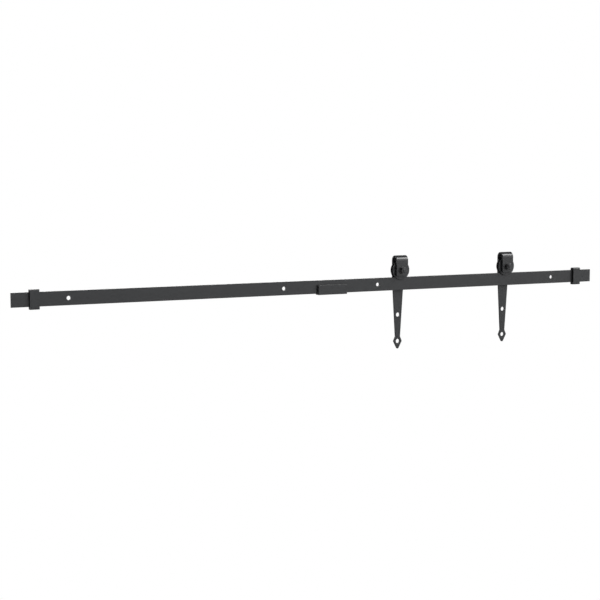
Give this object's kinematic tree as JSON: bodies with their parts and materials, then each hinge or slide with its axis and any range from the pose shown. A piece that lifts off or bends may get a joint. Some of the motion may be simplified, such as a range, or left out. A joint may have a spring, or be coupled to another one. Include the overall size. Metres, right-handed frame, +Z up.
{
  "type": "sliding barn door hardware",
  "caption": "Flat steel rail in joined sections with band end stops and bent strap hangers whose grooved wheels roll along its top edge to carry a sliding barn door.",
  "frame": {"origin": "middle of the rail's length, at half its height, on the rail face that looks at the wall", "axes": "+X along the rail, +Z up, -Y towards the wall"},
  "size_m": [1.83, 0.0507, 0.2751],
  "materials": {
    "black_steel": "satin powder coat",
    "black_wheel": "satin powder coat over turned steel",
    "black_fastener": "black oxide",
    "liner_rubber": "matt",
    "spring_steel": "phosphated",
    "zinc_sleeve": "zinc plated",
    "bearing_steel": "ground"
  },
  "bodies": {
    "track": {"rail_left": "black_steel", "rail_right": "black_steel", "joint_channel": "black_steel", "joint_screws": "black_fastener"},
    "stop_left": {"stop_band_left": "black_steel", "stop_liner_left": "liner_rubber", "stop_screws_left": "black_fastener"},
    "stop_right": {"stop_band_right": "black_steel", "stop_liner_right": "liner_rubber", "stop_screws_right": "black_fastener"},
    "hanger_left": {"hanger_strap_left": "black_steel", "axle_bolt_left": "black_fastener", "axle_nut_left": "black_fastener", "axle_washers_left": "black_fastener", "axle_spacers_left": "zinc_sleeve", "bearing_inner_ring_left": "bearing_steel"},
    "wheel_left": {"wheel_left": "black_wheel", "bearing_outer_ring_left": "bearing_steel", "bearing_shields_left": "bearing_steel", "retaining_ring_left": "spring_steel"},
    "ball_set_left": {"bearing_balls_left": "bearing_steel", "bearing_cage_left": "bearing_steel"},
    "hanger_right": {"hanger_strap_right": "black_steel", "axle_bolt_right": "black_fastener", "axle_nut_right": "black_fastener", "axle_washers_right": "black_fastener", "axle_spacers_right": "zinc_sleeve", "bearing_inner_ring_right": "bearing_steel"},
    "wheel_right": {"wheel_right": "black_wheel", "bearing_outer_ring_right": "bearing_steel", "bearing_shields_right": "bearing_steel", "retaining_ring_right": "spring_steel"},
    "ball_set_right": {"bearing_balls_right": "bearing_steel", "bearing_cage_right": "bearing_steel"}
  },
  "joints": [
    {"name": "stop_left_slide", "type": "slide", "parent": "track", "child": "stop_left", "axis": [-1, 0, 0], "range_m": [0, 0.045]},
    {"name": "stop_right_slide", "type": "slide", "parent": "track", "child": "stop_right", "axis": [1, 0, 0], "range_m": [0, 0.042]},
    {"name": "hanger_left_slide", "type": "slide", "parent": "track", "child": "hanger_left", "axis": [1, 0, 0], "range_m": [-1.042, 0.225]},
    {"name": "wheel_left_spin", "type": "hinge", "parent": "hanger_left", "child": "wheel_left", "pos_m": [0.225, 0.0025, 0.03955], "axis": [0, 1, 0], "continuous": true},
    {"name": "ball_set_left_spin", "type": "hinge", "parent": "hanger_left", "child": "ball_set_left", "pos_m": [0.225, 0.0025, 0.03955], "axis": [0, 1, 0], "continuous": true},
    {"name": "hanger_right_slide", "type": "slide", "parent": "track", "child": "hanger_right", "axis": [1, 0, 0], "range_m": [-1.042, 0.225]},
    {"name": "wheel_right_spin", "type": "hinge", "parent": "hanger_right", "child": "wheel_right", "pos_m": [0.5945, 0.0025, 0.03955], "axis": [0, 1, 0], "continuous": true},
    {"name": "ball_set_right_spin", "type": "hinge", "parent": "hanger_right", "child": "ball_set_right", "pos_m": [0.5945, 0.0025, 0.03955], "axis": [0, 1, 0], "continuous": true}
  ],
  "couplings": [
    {"joint": "hanger_right_slide", "follows": "hanger_left_slide", "ratio": 1},
    {"joint": "wheel_left_spin", "follows": "hanger_left_slide", "rad_per_m": 48.781},
    {"joint": "ball_set_left_spin", "follows": "hanger_left_slide", "rad_per_m": 30.843},
    {"joint": "wheel_right_spin", "follows": "hanger_left_slide", "rad_per_m": 48.781},
    {"joint": "ball_set_right_spin", "follows": "hanger_left_slide", "rad_per_m": 30.843}
  ]
}
